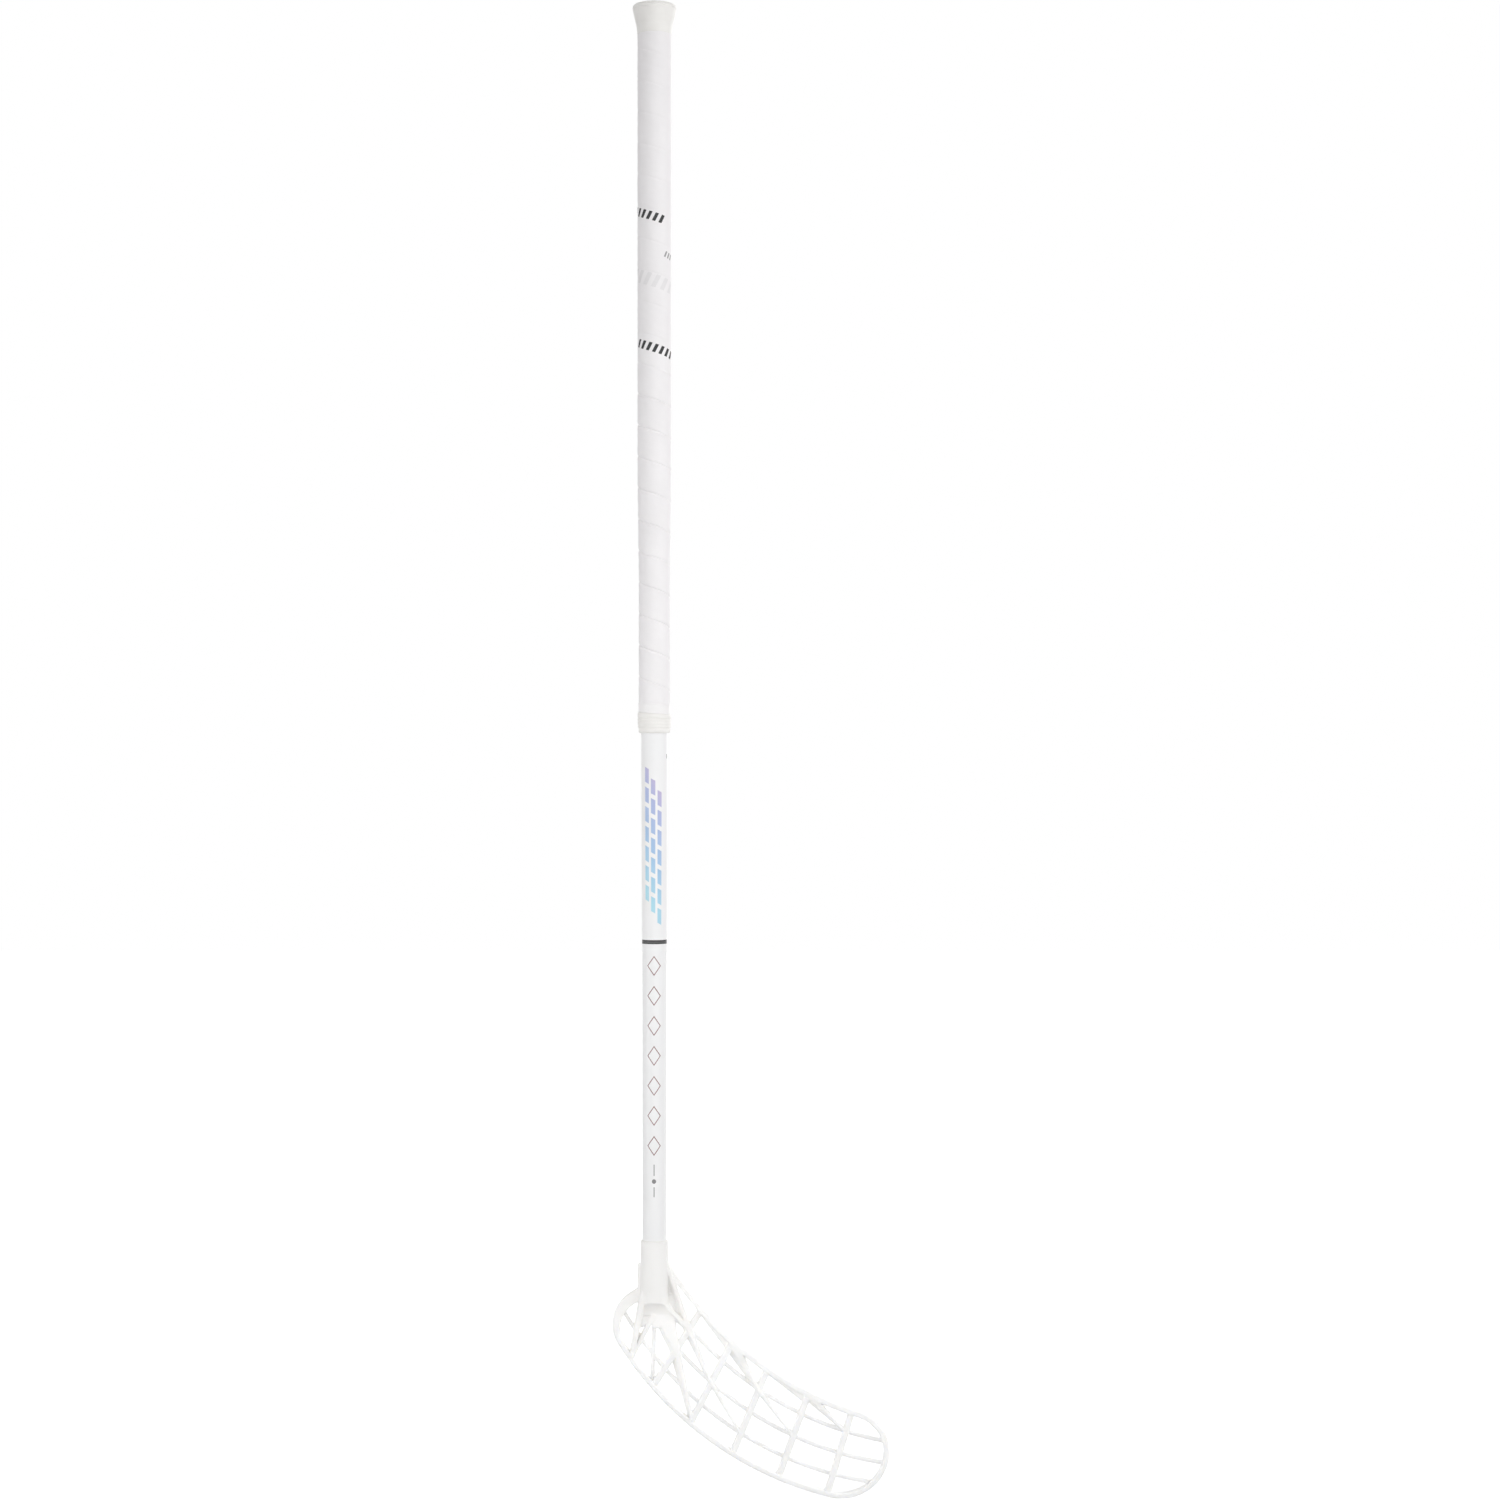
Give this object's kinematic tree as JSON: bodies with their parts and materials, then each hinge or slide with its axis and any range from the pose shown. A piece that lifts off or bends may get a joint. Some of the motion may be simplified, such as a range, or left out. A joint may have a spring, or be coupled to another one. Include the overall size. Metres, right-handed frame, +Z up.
{
  "type": "floorball stick",
  "caption": "Floorball stick: a white tube with a wound grip and rubber knob at the butt, and a hooked lattice blade moulded in plastic at the other end, for hitting and carrying a light ball",
  "frame": {"origin": "on the shaft's axis, 300 mm below the butt, in the middle of the grip", "axes": "+Z runs up the shaft from the blade to the butt, +X points from the shaft to the blade's toe, +Y is the side the toe hooks to"},
  "size_m": [0.2228, 0.0546, 1.2059],
  "materials": {
    "shaft_lacquer": null,
    "plug_plastic": "as moulded",
    "rubber_white": "matt",
    "grip_polyurethane": "matt, slightly tacky soft strip",
    "tape_film": "satin film",
    "hot_melt": "set glue",
    "blade_plastic": "satin, as moulded"
  },
  "bodies": {
    "root": {"shaft_tube": "shaft_lacquer", "butt_plug": "plug_plastic", "knob_cap": "rubber_white", "grip_tape": "grip_polyurethane", "finishing_tape": "tape_film", "finishing_band": "rubber_white", "bond_sleeve": "hot_melt", "blade": "blade_plastic"}
  },
  "joints": []
}
